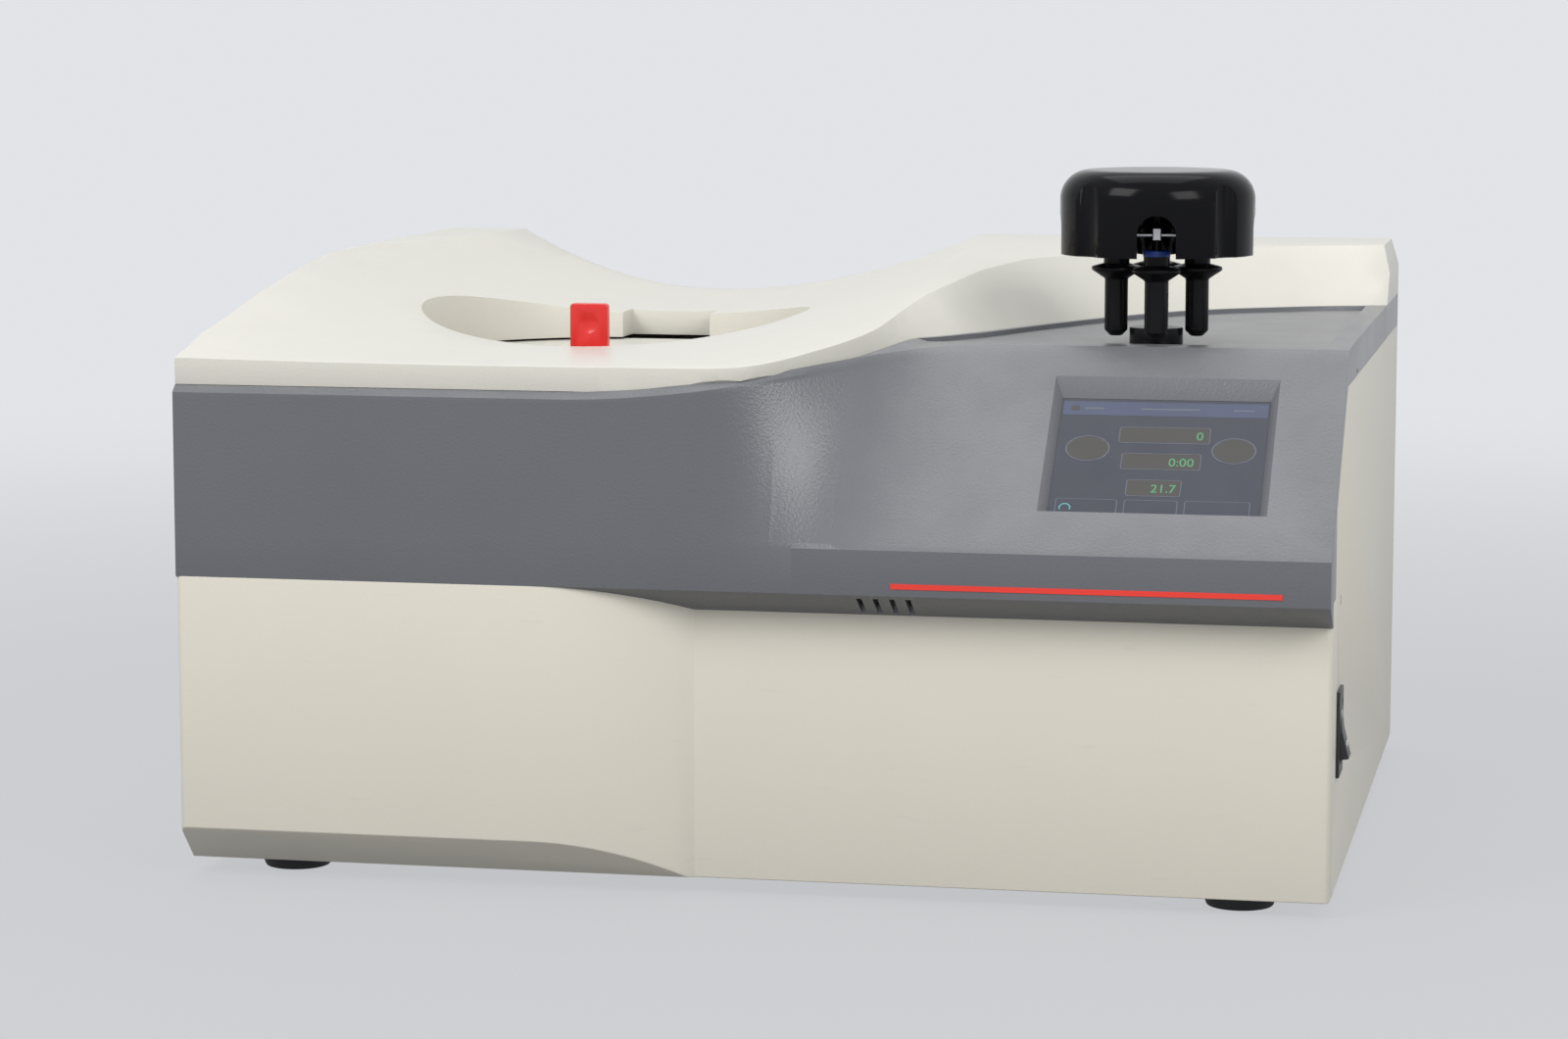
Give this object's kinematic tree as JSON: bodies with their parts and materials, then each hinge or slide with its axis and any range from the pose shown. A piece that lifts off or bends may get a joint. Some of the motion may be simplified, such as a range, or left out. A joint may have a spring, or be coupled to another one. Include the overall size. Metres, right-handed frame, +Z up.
{
  "type": "benchtop ultracentrifuge",
  "caption": "Benchtop ultracentrifuge with a sliding chamber door in a bowl-shaped cover, a tilted touch screen and a swinging-bucket rotor on a stand on its deck.",
  "frame": {"origin": "on the bench under the middle of the cabinet", "axes": "+Z up, +Y from the front to the rear, +X to the right as seen from the front"},
  "size_m": [0.7133, 0.6244, 0.437],
  "materials": {
    "aluminium": "machined",
    "black_anodised": "black anodised",
    "black_plastic": "matt",
    "board_green": "matt",
    "ceramic_white": "matt",
    "copper": "plain",
    "cover_cream": "fine orange-peel texture",
    "cream_paint": "satin",
    "grey_paint": "fine texture",
    "red_plastic": "gloss",
    "rubber": "matt",
    "screen": "gloss",
    "sheet_steel": "plain",
    "stripe_red": "gloss"
  },
  "bodies": {
    "cabinet": {"armour_ring": "sheet_steel", "base_pan": "sheet_steel", "board_capacitors": "black_plastic", "board_heat_sink": "aluminium", "chamber_frame": "sheet_steel", "chamber_plate": "aluminium", "chamber_seal": "rubber", "control_housing": "grey_paint", "cooling_modules": "ceramic_white", "diffusion_pump": "aluminium", "display_board": "board_green", "display_module": "sheet_steel", "door_rails": "aluminium", "drive_bearings": "sheet_steel", "drive_board": "board_green", "drive_housing": "aluminium", "drive_isolators": "rubber", "exhaust_barb": "aluminium", "fan_guard": "sheet_steel", "fan_housing": "black_plastic", "feet": "rubber", "heat_sink": "aluminium", "lock_solenoid": "sheet_steel", "lower_front_panel": "cream_paint", "panel_screws": "sheet_steel", "power_inlet": "black_plastic", "power_supply": "sheet_steel", "pump_motor": "grey_paint", "pump_mounts": "rubber", "rear_panel": "cream_paint", "screen_glass": "screen", "side_panel_left": "cream_paint", "side_panel_right": "cream_paint", "stripe_inlay": "stripe_red", "switch_bezel": "black_plastic", "top_cover": "cover_cream", "transformer": "copper", "vacuum_chamber": "aluminium", "vacuum_hose": "rubber", "vacuum_pump": "aluminium"},
    "chamber_door": {"chamber_door": "cover_cream", "door_handle": "red_plastic"},
    "lock_bolt": {"lock_bolt": "sheet_steel"},
    "drive": {"drive_spindle": "sheet_steel", "spindle_hub": "aluminium"},
    "fan": {"fan_impeller": "black_plastic"},
    "power_rocker": {"power_rocker": "black_plastic"},
    "rotor_stand": {"rotor_stand": "black_anodised"},
    "stand_bush": {"stand_bush": "black_plastic"},
    "rotor": {"rotor_body": "black_anodised", "rotor_pins": "sheet_steel"},
    "bucket_1": {"bucket_1": "black_anodised", "bucket_cap_1": "black_anodised"},
    "bucket_2": {"bucket_2": "black_anodised", "bucket_cap_2": "black_anodised"},
    "bucket_3": {"bucket_3": "black_anodised", "bucket_cap_3": "black_anodised"},
    "bucket_4": {"bucket_4": "black_anodised", "bucket_cap_4": "black_anodised"}
  },
  "joints": [
    {"name": "door_slide", "type": "slide", "parent": "cabinet", "child": "chamber_door", "axis": [0, 1, 0], "range_m": [0, 0.1754]},
    {"name": "lock_slide", "type": "slide", "parent": "cabinet", "child": "lock_bolt", "axis": [1, 0, 0], "range_m": [0, 0.008], "stiffness_N_per_m": 40},
    {"name": "drive_spin", "type": "hinge", "parent": "cabinet", "child": "drive", "pos_m": [-0.148, -0.008, 0.15], "axis": [0, 0, 1], "continuous": true},
    {"name": "fan_spin", "type": "hinge", "parent": "cabinet", "child": "fan", "pos_m": [-0.148, 0.29, 0.104], "axis": [0, 1, 0], "continuous": true},
    {"name": "power_rock", "type": "hinge", "parent": "cabinet", "child": "power_rocker", "pos_m": [0.347, -0.231, 0.105], "axis": [0, 1, 0], "range_deg": [0, 20]},
    {"name": "stand_lift", "type": "slide", "parent": "cabinet", "child": "rotor_stand", "axis": [0, 0, 1], "range_m": [0, 0.1]},
    {"name": "rotor_spin", "type": "hinge", "parent": "rotor_stand", "child": "stand_bush", "pos_m": [0.23, -0.137, 0.385], "axis": [0, 0, 1], "continuous": true},
    {"name": "rotor_lift", "type": "slide", "parent": "stand_bush", "child": "rotor", "axis": [0, 0, 1], "range_m": [0, 0.1]},
    {"name": "bucket_swing_1", "type": "hinge", "parent": "rotor", "child": "bucket_1", "pos_m": [0.23261, -0.16186, 0.398], "axis": [-0.9945, -0.1045, 0], "range_deg": [0, 90]},
    {"name": "bucket_swing_2", "type": "hinge", "parent": "rotor", "child": "bucket_2", "pos_m": [0.25486, -0.13439, 0.398], "axis": [0.1045, -0.9945, 0], "range_deg": [0, 90]},
    {"name": "bucket_swing_3", "type": "hinge", "parent": "rotor", "child": "bucket_3", "pos_m": [0.22739, -0.11214, 0.398], "axis": [0.9945, 0.1045, 0], "range_deg": [0, 90]},
    {"name": "bucket_swing_4", "type": "hinge", "parent": "rotor", "child": "bucket_4", "pos_m": [0.20514, -0.13961, 0.398], "axis": [-0.1045, 0.9945, 0], "range_deg": [0, 90]}
  ]
}
